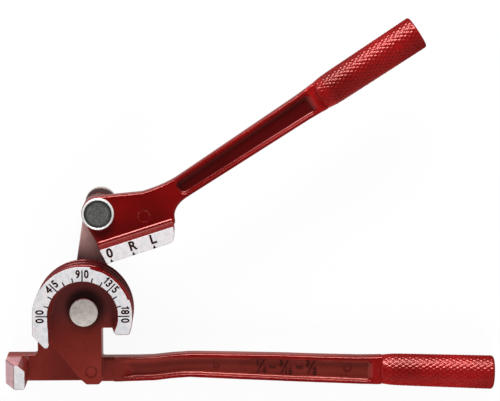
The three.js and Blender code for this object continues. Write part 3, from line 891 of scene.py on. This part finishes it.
def lower_red(shader):
    """Brown under the dial and in the handle's panel, bright on its rims, with a painted shadow round the
    pin.

    Gives the tone, and how smooth the enamel is.
    """
    x, y, z = shader.x, shader.y, shader.z
    plain = enamel_colour(shader)
    off = abs(y - (x * math.tan(HANDLE_ANGLE) - HANDLE_AXIS_DROP))
    on_rims = x.ramp(*RIMS_ALONG) * z.ramp(*RIMS_HEIGHT) * off.ramp(*RIMS_OFF)
    tone = shader.mix(on_rims, enamel_colour(shader, RED_BROWN, RED_DUSTY), plain)
    tone = shader.mix(x.ramp(*LOWER_BRIGHT), tone, bright_enamel(shader))
    round_former = shader.off_line().ramp(*FORMER_OFF) * y.ramp(*FORMER_ABOVE)
    tone = shader.mix(round_former, tone, plain)
    in_cup = shader.facing_up * (z < CUP_FLOOR_TOP)
    # Painted shade: the cup's floor is darker towards its top, where the dial's wall shades it
    tone = shader.mix(y.ramp(*CUP_SHADE_ABOVE, 0.0, CUP_SHADE_SHARE) * in_cup, tone, RED_CUP_SHADE)
    # Painted shadow: the pin's head shades the cup's floor round it, set off-centre towards the top
    dark_round_pin = shader.off_line(*PIN_SHADOW_MIDDLE).fall(*PIN_SHADOW_EDGE, PIN_DARKENING_SHARE)
    tone = shader.mix(dark_round_pin * in_cup, tone, PIN_SHADOW)
    low, high = FRACTION_REACH
    near = (abs(x - (low + high) / 2) < (high - low) / 2) * (off < FRACTION_OFF)
    tone = shader.mix(z.ramp(*FRACTION_RISE) * near, tone, FIGURE_SHADE)
    # Painted shade: the edges of the ejector pins' marks are darker
    pressed = shader.most(*[ring_mark(shader, mark) for mark in LOWER_MARKS])
    return shader.mix(pressed * PRESS_SHADE_SHARE, tone, RED_SHADE), on_rims


def in_frame(shader, origin, angle):
    """The place in a frame with its origin there, turned by the angle about z."""
    inputs = {0: shader.place, "Location": (*origin, 0), "Rotation": (0, 0, angle)}
    return shader.make("ShaderNodeMapping", inputs, vector_type="TEXTURE")


# The same for the upper handle: the painted shade in the lever's sunk panel, the brighter red near
# the grip, the greasy boss, and the step's wall with its painted shade, off its foot and up from the plate
LEVER_SUNK = (PLATE_FRONT - 2.6 * MM, PLATE_FRONT - 1.2 * MM)
LEVER_SUNK_SHARE = 0.7
UPPER_BRIGHT = mm(149, 152)
BOSS_EDGE = mm(11.6, 12.2)
BOSS_GREASE_TOP = mm(30, 36)
BOSS_GREASE_SHARE = 0.75
STEP_WALL_OFF = (STEP_FOOT + 0.8 * MM, STEP_FOOT + 1.4 * MM)
STEP_WALL_RISE = (PLATE_FRONT + 0.5 * MM, PLATE_FRONT + 0.8 * MM)
STEP_WALL_SHADE_SHARE = 0.7
STEP_WALL_SMOOTH = -4.5


def upper_red(shader):
    """Painted shade in the lever's sunk panel and on the step's rough wall; a painted highlight at the
    ejector pin's mark.

    Gives the tone, and how smooth the enamel is.
    """
    # Painted shade: the floor of the lever's sunk panel is darker
    sunk = shader.z.fall(*LEVER_SUNK, LEVER_SUNK_SHARE) * shader.facing_up
    tone = shader.mix(sunk, enamel_colour(shader), RED_SHADE)
    from_pin = shader.off_line(*UPPER_PIN)
    tone = shader.mix(from_pin.ramp(*UPPER_BRIGHT), tone, bright_enamel(shader))
    greasy = from_pin.fall(*BOSS_EDGE) * shader.z.fall(*BOSS_GREASE_TOP, BOSS_GREASE_SHARE)
    tone = shader.mix(greasy, tone, RED_GRIME_AND_SHADE)
    # Painted highlight: the ring of the ejector pin's mark on the plate is a lighter, patchy red
    middle = upper_matrix() @ Vector((*PLATE_MARK[:2], 0))
    pressed = ring_mark(shader, (middle.x, middle.y, *PLATE_MARK[2:]))
    patchy = shader.patches(1.5 * MM, 3.0, 0.4, 0.65, 0.0, 0.8)
    tone = shader.mix(pressed * patchy, tone, RED_MARK_HIGHLIGHT)
    # Painted shade: the step's wall is a darker red, as well as rougher
    across = shader.split(in_frame(shader, UPPER_PIN, SHOE_ANGLE))[1]
    wall = across.fall(*STEP_WALL_OFF) * shader.z.ramp(*STEP_WALL_RISE)
    tone = shader.mix(wall * STEP_WALL_SHADE_SHARE, tone, darker(RED_DEEP, 0.7))
    return tone, wall * STEP_WALL_SMOOTH


# Heights of the white paint's ragged edge, and of the sunk marks' floors below it, which get grime and
# painted shade
PAINT_RAG = 0.16 * MM
PAINT_EDGE = (DIAL_FRONT - 0.34 * MM, DIAL_FRONT - 0.1 * MM)
SUNK_TOP = (DIAL_FRONT - 0.36 * MM, DIAL_FRONT - 0.26 * MM)
SUNK_FLOOR = (DIAL_FRONT - 0.6 * MM, DIAL_FRONT - 0.5 * MM)


def white_paint(shader):
    """White with greyer patches, thin places where the red shows through, and chips."""
    tone = shader.mix(shader.patches(3 * MM, 3.0, 0.4, 0.65), PAINT_WHITE, PAINT_GREY)
    thin = shader.noise(2.2 * MM, 5.0, 0.6)
    tone = shader.mix(thin.ramp(0.58, 0.78, 0, 0.6), tone, PAINT_THIN)
    return shader.mix(shader.patches(1.3 * MM, 2.0, 0.74, 0.78, 0, 0.8), tone, PAINT_WORN)


def casting_enamel(name, red_of, paint_of):
    """Red enamel, with white rolled onto the faces that stand highest."""
    shader = Shader(name)
    height = shader.z + (shader.noise(0.9 * MM, 3.0) - 0.5) * PAINT_RAG
    white, paint = paint_of(shader, height.ramp(*PAINT_EDGE), white_paint(shader))
    # Grime and painted shade on the floors of the sunk figures and ticks
    sunk = shader.z.ramp(*SUNK_FLOOR) * height.fall(*SUNK_TOP) * shader.facing_up
    tone, smooth = red_of(shader)
    red = shader.mix(sunk, tone, RED_GRIME_AND_SHADE)
    gloss = ENAMEL_ROUGHNESS - smooth * ENAMEL_POLISH
    shader.set(base_color=shader.mix(white, red, paint), normal=enamel_bump(shader))
    shader.set(roughness=shader.blend(white, gloss, PAINT_ROUGHNESS), specular_ior_level=ENAMEL_SPECULAR)
    shader.set(metallic=white.fall(0, 1, ENAMEL_METAL), specular_tint=ENAMEL_TINT)
    return shader.material


# The hook lies left of this x, and its paint starts between these heights
HOOK_RIGHT = HOOK_FACE + 0.1 * MM
HOOK_PAINT_RISE = mm(14, 26)


def hook_paint(shader, paint):
    """How much of the hook is dusted with white, which is all but its inner side, and in what colour."""
    x, y, z = shader.facing
    dust = shader.patches(4 * MM, 4.0, 0.3, 0.65, 0.6, 0.95)
    share = (shader.x < HOOK_RIGHT) * x.fall(0.3, 0.6) * shader.z.ramp(*HOOK_PAINT_RISE) * dust
    side = shader.mix(x.fall(-0.98, -0.85), PAINT_DUSTED, PAINT_DUSTED_SIDE)
    tone = shader.mix(z.ramp(0.5, 0.97), side, paint)
    on_edges = shader.most(abs(x), abs(y), z).fall(0.86, 0.925, 0.75)
    return share, shader.mix(on_edges, tone, PAINT_WORN)


# A stretch of the dial band's outer edge is bare: its middle, the angles from there between which the
# paint comes back, and how far inside the edge it stops there and past the edge it reaches elsewhere
MISSED_MIDDLE = math.radians(50)
MISSED_ENDS = (math.radians(29), math.radians(33))
MISSED_WIDTH = 1.0 * MM
PAINT_PAST_EDGE = 1.5 * MM


def lower_paint(shader, top, paint):
    """The dial band's paint misses part of its outer edge; the hook is white on its outer sides too."""
    from_middle = abs(shader.calc("ARCTAN2", shader.y, shader.x) - MISSED_MIDDLE)
    missed = from_middle.ramp(*MISSED_ENDS, MISSED_WIDTH, -PAINT_PAST_EDGE)
    edge = FORMER_RADIUS - missed - shader.noise(5 * MM, 2.0) * (0.8 * MM)
    inside = (edge - shader.off_line()).ramp(-0.15 * MM, 0.2 * MM)
    dial = top * shader.most(inside, shader.y < 0)
    dusted, dusted_paint = hook_paint(shader, paint)
    return shader.most(dial, dusted), shader.mix(shader.x < HOOK_RIGHT, paint, dusted_paint)


def upper_paint(shader, top, paint):
    """The shoe's paint has a breath of the red under it, and its wedge-shaped ticks are dark with grime and
    painted shade.
    """
    along, across, _ = shader.split(in_frame(shader, UPPER_PIN, SHOE_ANGLE))
    width, rise = WEDGE_SIZE
    half = (rise - SHOE_REACH - across) * (0.5 * width / rise)
    wedge = 0.0
    for _, tick in SHOE_LETTERS.values():
        wedge = shader.most(wedge, (half - abs(along - tick)).ramp(-0.1 * MM, 0.15 * MM))
    # Grime and painted shade fill the sunk wedges
    return top, shader.mix(wedge, shader.mix(0.2, paint, PAINT_PINK), RED_GRIME_AND_SHADE)


def turned_rings(shader, pitch):
    """Uneven waves from 0 to 1 round the object's own axis."""
    away = shader.off_line() + shader.noise(4 * MM, 3.0) * (1.2 * pitch)
    return shader.calc("SINE", away * (2 * math.pi / pitch)).ramp(-1, 1)


# A pin's polished rim, painted near-white as a stand-in for its reflection, and the painted shade on the
# face inside it. Their edges are distances past the rim's inner edge
RIM_PAINTED_SHINE = linear("#e8e8e6")
RIM_ROUGHNESS = 0.34
RIM_METAL = 0.3
RIM_EDGE = mm(-0.2, 0.1)
RIM_SHADE = mm(-2.6, -0.6)
RIM_SHADE_SHARE = 0.9


def steel(name, colour, roughness, metallic, spots, ring_pitch, ring_share=0.3, stained=0.9, rim=None):
    """Turned steel with rings, and with stains of the size of spots.

    stained and ring_share say how dark these are. Past the radius rim the steel is polished and painted
    near-white in place of its reflection, with painted shade on the face just inside it.
    """
    shader = Shader(name)
    stain = shader.noise(spots, 5.0, 0.65)
    tone = shader.mix(stain.ramp(0.4, 0.65, 0, stained), colour, darker(colour, 0.5))
    rings = turned_rings(shader, ring_pitch)
    patchy = rings * stain.ramp(0.35, 0.6, 0.2 * ring_share, ring_share)
    tone = shader.mix(patchy, tone, darker(colour, 0.5))
    grain = shader.bump(shader.noise(0.3 * MM, 3.0), 0.01 * MM)
    gloss = stain.ramp(0.3, 0.7, roughness - 0.06, roughness + 0.1)
    if rim:
        past_rim = shader.off_line() - rim
        # Painted shade on the face just inside the raised rim, and a painted reflection: the rim itself is
        # near-white
        shiny_rim = past_rim.ramp(*RIM_EDGE)
        tone = shader.mix(past_rim.ramp(*RIM_SHADE, 0.0, RIM_SHADE_SHARE), tone, darker(colour, 0.12))
        tone = shader.mix(shiny_rim, tone, RIM_PAINTED_SHINE)
        gloss = shader.blend(shiny_rim, gloss, RIM_ROUGHNESS)
        metallic = shader.blend(shiny_rim, metallic, RIM_METAL)
    shader.set(base_color=tone, normal=shader.bump(rings, 0.01 * MM, grain))
    shader.set(metallic=metallic, roughness=gloss)
    return shader.material


LINK_STEEL = linear("#ffcbc6")
LINK_FRONT = darker(linear("#a39d99"), 0.8)
LINK_LOW = linear("#401619")
LINK_DARK_ROUND_PIN = linear("#15100f")
LINK_METAL = 0.25
# Distances from the upper pin: of the dark patch's edge, and of the darker and glossier low end
LINK_DARK_EDGE = mm(12, 13.5)
LINK_LOW_START = mm(17, 40)
LINK_LOW_POLISH = 0.24
# How many times longer than wide the rolled lines are, and where the shade on one side of the axis ends
LINK_LINES_LENGTH = 25
LINK_SHADE_OFF = mm(-9, 1)


def link_steel():
    """Rolled steel with fine lines along the link, darker round the upper pin."""
    shader = Shader("link_steel")
    turned = in_frame(shader, (0, 0), LINK_ANGLE)
    drawn = shader.make("ShaderNodeMapping", {0: turned, "Scale": (1 / LINK_LINES_LENGTH, 1, 1)})
    lines = shader.noise(0.7 * MM, 3.0, vector=drawn)
    stain = shader.noise(9 * MM, 4.0, 0.6)
    tone = shader.mix(lines.ramp(0.35, 0.7, 0, 0.5), LINK_STEEL, darker(LINK_STEEL, 0.6))
    tone = shader.mix(stain.ramp(0.5, 0.75, 0, 0.4), tone, darker(LINK_STEEL, 0.5))
    from_pin = shader.off_line(*UPPER_PIN)
    low = from_pin.ramp(*LINK_LOW_START)
    tone = shader.mix(low, tone, LINK_LOW)
    across = shader.split(turned)[1]
    tone = shader.mix(across.fall(*LINK_SHADE_OFF, 0.6), tone, darker(LINK_STEEL, 0.3))
    tone = shader.mix(shader.facing_up, LINK_FRONT, tone)
    # Darker round the upper pin, on the faces that look out
    dark_round_pin = from_pin.fall(*LINK_DARK_EDGE, PIN_DARKENING_SHARE) * shader.facing_up
    tone = shader.mix(dark_round_pin, tone, LINK_DARK_ROUND_PIN)
    gloss = stain.ramp(0.3, 0.7, 0.42, 0.54) - low * LINK_LOW_POLISH
    shader.set(base_color=tone, normal=shader.bump(lines, 0.012 * MM), metallic=LINK_METAL, roughness=gloss)
    return shader.material


def dress(piece, material):
    piece.data.materials.clear()
    piece.data.materials.append(material)


# Pieces


def lower_pieces():
    casting = soft_casting("lower_casting", "lower_handle", Matrix.Identity(4))
    points = vertex_array(casting.data)
    swell_handle(points)
    open_panel(points)
    share = between(points[:, 0], *SOFT_BAR_PLACES) * smooth_step(points[:, 2], *SOFT_BAR_HEIGHTS)
    soften(casting.data, points, share, SOFT_ROUNDS)
    for mark in LOWER_MARKS:
        press_mark(points, mark)
    set_vertices(casting.data, points)
    keep_in_box(casting.data, "lower_handle")
    clear_grip(casting, lower_grip_matrix())
    cut(casting, dial_marks())
    cut(casting, tube_sizes(), "UNION")
    shade(casting.data)
    dress(casting, casting_enamel("lower_enamel", lower_red, lower_paint))
    grip = knurled_grip("lower_knurled_grip", lower_grip_matrix(), LOWER_CONE_INSET)
    dress(grip, grip_enamel("lower_grip_enamel", in_grooves=0.25))
    return casting, grip


def upper_pieces():
    matrix = upper_matrix()
    casting = soft_casting("upper_casting", "upper_handle", matrix, step_shelf())
    points = vertex_array(casting.data)
    along = shape_lever_end(points, matrix)
    soften(casting.data, points, between(along, *SOFT_LEVER_PLACES), SOFT_LEVER_ROUNDS)
    press_mark(points, PLATE_MARK)
    set_vertices(casting.data, points)
    casting.data.transform(matrix)
    keep_in_box(casting.data, "upper_handle")
    clear_grip(casting, upper_grip_matrix())
    cut(casting, shoe_marks())
    shade(casting.data)
    dress(casting, casting_enamel("upper_enamel", upper_red, upper_paint))
    grip = knurled_grip("upper_knurled_grip", upper_grip_matrix(), UPPER_CONE_INSET)
    dress(grip, grip_enamel("upper_grip_enamel", in_grooves=0.55))
    return casting, grip


# The pins' shanks, with a groove for the retaining ring from height to height
SHANK_RADIUS = 5 * MM
SHANK_BEVEL = 0.4 * MM
GROOVE_RADIUS = 4.3 * MM
GROOVE_HEIGHTS = mm(0.6, 2)
PIN_SHARP_ANGLE = math.radians(28)
PIN_RIM = 8.75 * MM
# The upper pin's head, a bright rim round a sunk face, as (radius share, drop below the rim in mm) points
DISHED_CROWN = (
    (0.97, 3.0), (1.0, 2.7), (1.0, 0.95), (0.992, 0.6), (0.98, 0.3), (0.96, 0.1), (0.938, 0),
    (0.915, 0.05), (0.895, 0.22), (0.88, 0.45), (0.865, 0.6), (0.83, 0.7), (0.7, 0.88), (0.6, 1.02),
    (0.5, 1.14), (0.4, 1.24), (0.3, 1.31), (0.15, 1.37), (0.02, 1.4),
)
FLAT_CROWN_HEIGHT = 3.2 * MM
FLAT_CROWN_BEVEL = 0.3 * MM
FLAT_CROWN_INSET_SHARE = 0.06
FLAT_CROWN_DROP = 0.5 * MM


def flat_crown(steps=6):
    """The centre pin's head, flat with a rounded edge, as (radius share, drop below the face) points."""
    crown = [(0.97, FLAT_CROWN_HEIGHT), (1.0, FLAT_CROWN_HEIGHT - FLAT_CROWN_BEVEL)]
    for i in range(steps + 1):
        angle = math.pi / 2 * i / steps
        share = 1 - FLAT_CROWN_INSET_SHARE * (1 - math.cos(angle))
        crown.append((share, FLAT_CROWN_DROP * (1 - math.sin(angle))))
    return crown


def pin_piece(name, node, centre, crown):
    """A headed pin, turned finer than its CAD node.

    crown lists (share of the head's radius, drop from its front) points.
    """
    low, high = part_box(node)
    head_radius = (high.x - low.x) / 2
    start, end = GROOVE_HEIGHTS
    head = [(share * head_radius, high.z - drop) for share, drop in crown]
    profile = [
        (0, low.z), (SHANK_RADIUS - SHANK_BEVEL, low.z), (SHANK_RADIUS, low.z + SHANK_BEVEL),
        (SHANK_RADIUS, start), (GROOVE_RADIUS, start), (GROOVE_RADIUS, end), (SHANK_RADIUS, end),
        (SHANK_RADIUS, head[0][1]), *head, (0, head[-1][1]),
    ]
    piece = add_object(name, turned_mesh(name, profile), moved(centre.x, centre.y, 0))
    shade(piece.data, PIN_SHARP_ANGLE)
    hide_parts(node)
    return piece


def pins():
    pale = steel(
        "pin_face_steel", linear("#f0eae2"), roughness=0.5, metallic=0.2, spots=5 * MM, stained=0.45,
        ring_pitch=1.1 * MM, ring_share=0.2,
    )
    dark = steel(
        "turned_dark_steel", linear("#6d6e6b"), roughness=0.4, metallic=0.35, spots=2.2 * MM,
        ring_pitch=1.9 * MM, ring_share=0.8, rim=PIN_RIM,
    )
    centre = pin_piece("centre_pin_turned", "centre_pin", Vector((0, 0)), flat_crown())
    dished = [(share, drop * MM) for share, drop in DISHED_CROWN]
    upper = pin_piece("upper_pin_turned", "upper_pin", UPPER_PIN, dished)
    dress(centre, pale)
    dress(upper, dark)
    return centre, upper


def dress_cad_nodes():
    """The link, washers and rings keep their CAD meshes."""
    washer_steel = steel(
        "washer_steel", linear("#b4b1ab"), roughness=0.42, metallic=0.7, spots=4 * MM, ring_pitch=0.7 * MM
    )
    ring_steel = steel(
        "ring_steel", linear("#5c5a56"), roughness=0.36, metallic=0.85, spots=2 * MM, ring_pitch=1.5 * MM
    )
    steels = {"link_bar": link_steel(), "washer": washer_steel, "ring": ring_steel}
    for name, piece in nodes.items():
        for kind, material in steels.items():
            if name.endswith(kind):
                dress(piece, material)


# Stage

CAMERA_PLACE = Vector((67.4, 215.4, 1306.48)) * MM
CAMERA_AIM = Vector((104.4, 72.4, 50.48)) * MM
CAMERA_LENS = 146.86
CAMERA_SENSOR = 36
CAMERA_CLIP = (0.05, 20)


def make_camera():
    data = bpy.data.cameras.new("camera")
    data.lens = CAMERA_LENS
    data.sensor_width = CAMERA_SENSOR
    data.clip_start, data.clip_end = CAMERA_CLIP
    forward = (CAMERA_AIM - CAMERA_PLACE).normalized()
    right = forward.cross(Vector((0, 1, 0))).normalized()
    turn = Matrix((right, right.cross(forward), -forward)).transposed()
    bpy.context.scene.camera = add_object("camera", data, Matrix.Translation(CAMERA_PLACE) @ turn.to_4x4())


FLOOR_REACH = 3
FLOOR_COLOUR = (0.9, 0.9, 0.9, 1)
FLOOR_ROUGHNESS = 0.9
# How much of what the camera sees of the floor is its own glow. The rest is lit and shaded
FLOOR_SHOWN = 0.94
# In reflections the floor shows a painted pool of light round the tool's head, with a pink tint that is a
# painted reflection of the red tool
FLOOR_IN_GLOSS = 0.42
FLOOR_AROUND_IN_GLOSS = 0.06
POOL_MIDDLE = mm(60, 80)
POOL_RADII = mm(110, 200)
FLOOR_GLOSS_COLOUR = (1.0, 0.76, 0.74, 1.0)
WHITE = (1, 1, 1, 1)


def make_floor():
    """A floor that shows white to the camera with a light shadow, and in reflections as a pool of light."""
    near, far = -FLOOR_REACH, FLOOR_REACH
    corners = [(near, near, 0), (far, near, 0), (far, far, 0), (near, far, 0)]
    floor = add_object("floor", mesh_from("floor", corners, [(0, 1, 2, 3)]))
    shader = Shader("floor_white")
    ray = shader.outputs("ShaderNodeLightPath")
    seen = shader.most(ray["Is Camera Ray"], ray["Is Transmission Ray"])
    shown = shader.most(seen * FLOOR_SHOWN, ray["Is Glossy Ray"])
    pool = shader.off_line(*POOL_MIDDLE).ramp(*POOL_RADII, FLOOR_IN_GLOSS, FLOOR_AROUND_IN_GLOSS)
    strength = shader.blend(ray["Is Glossy Ray"], 1.0, pool)
    colour = shader.mix(ray["Is Glossy Ray"], WHITE, FLOOR_GLOSS_COLOUR)
    glow = shader.make("ShaderNodeEmission", {"Color": colour, "Strength": strength})
    shader.set(base_color=FLOOR_COLOUR, roughness=FLOOR_ROUGHNESS, specular_ior_level=0.0)
    lit = Value(shader, shader.surface.outputs[0])
    both = shader.make("ShaderNodeMixShader", {0: shown, 1: lit, 2: glow})
    shader.put(shader.tree.nodes["Material Output"].inputs["Surface"], both)
    dress(floor, shader.material)


WORLD_LEVEL = 0.16
OVERHEAD_REFLECTION = 0.04
HORIZON_REFLECTION = 0.05
CARD_REFLECTION = 0.2
BACK_BOX_REFLECTION = 0.35
FRONT_BOX_REFLECTION = 0.06
RIGHT_BOX_REFLECTION = 0.4
LEFT_BOX_REFLECTION = 0.6


def studio_reflections(graph):
    """What gloss sees round the object: soft boxes on all four sides and a dark ceiling with a card."""
    x, y, z = graph.split(graph.outputs("ShaderNodeTexCoord")["Generated"])
    card = y.ramp(-0.155, -0.13, CARD_REFLECTION, OVERHEAD_REFLECTION)
    level = graph.blend(z.ramp(0.15, 0.4), HORIZON_REFLECTION, card)
    tall = z.ramp(0.1, 0.25) * z.fall(0.8, 0.9)
    low = z.fall(0.5, 0.7)
    back = y.ramp(0.35, 0.5) * tall * BACK_BOX_REFLECTION
    front = y.fall(-0.75, -0.6) * low * FRONT_BOX_REFLECTION
    right = x.ramp(0.6, 0.75) * low * RIGHT_BOX_REFLECTION
    left = x.fall(-0.75, -0.6) * low * LEFT_BOX_REFLECTION
    return graph.most(level, back, front, right, left)


def make_world():
    """Even soft light. The camera sees it white, and gloss sees a studio."""
    world = bpy.data.worlds.new("world")
    bpy.context.scene.world = world
    world.use_nodes = True
    graph = Graph(world.node_tree)
    background = graph.tree.nodes["Background"]
    ray = graph.outputs("ShaderNodeLightPath")
    level = graph.blend(ray["Is Glossy Ray"], WORLD_LEVEL, studio_reflections(graph))
    seen = graph.most(ray["Is Camera Ray"], ray["Is Transmission Ray"])
    graph.put(background.inputs["Color"], WHITE)
    graph.put(background.inputs["Strength"], graph.blend(seen, level, 1.0))


# Each lamp, as (name, place, width and length, watts, whether gloss shows it)
LAMPS = (
    ("key", (0.05, 1.15, 0.54), (1.2, 0.4), 27.5, True),
    ("fill", (0.1, -1.25, 0.58), (1.8, 1.0), 29.0, False),
)
LAMP_AIM = Vector((0.1, 0, 0))


def make_lamp(name, place, size, power, in_gloss):
    data = bpy.data.lights.new(name, "AREA")
    data.shape = "RECTANGLE"
    data.size, data.size_y = size
    data.energy = power
    lamp = add_object(name, data)
    lamp.visible_glossy = in_gloss
    lamp.location = place
    lamp.rotation_euler = (LAMP_AIM - Vector(place)).to_track_quat("-Z", "Y").to_euler()


make_camera()
make_floor()
make_world()
for lamp_settings in LAMPS:
    make_lamp(*lamp_settings)
bpy.context.scene.view_settings.view_transform = "Standard"

lower_casting, lower_grip_piece = lower_pieces()
upper_casting, upper_grip_piece = upper_pieces()
centre_pin_piece, upper_pin_piece = pins()
dress_cad_nodes()

for piece, body, slot in (
    (lower_casting, ROOT_BODY, "casting_enamel"),
    (lower_grip_piece, ROOT_BODY, "casting_enamel"),
    (centre_pin_piece, ROOT_BODY, "pale_steel"),
    (upper_casting, UPPER_BODY, "casting_enamel"),
    (upper_grip_piece, UPPER_BODY, "casting_enamel"),
    (upper_pin_piece, LINK_BODY, "dark_steel"),
):
    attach(piece, body)
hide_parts("lower_handle")
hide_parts("lower_handle")
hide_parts("upper_handle")
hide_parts("upper_handle")
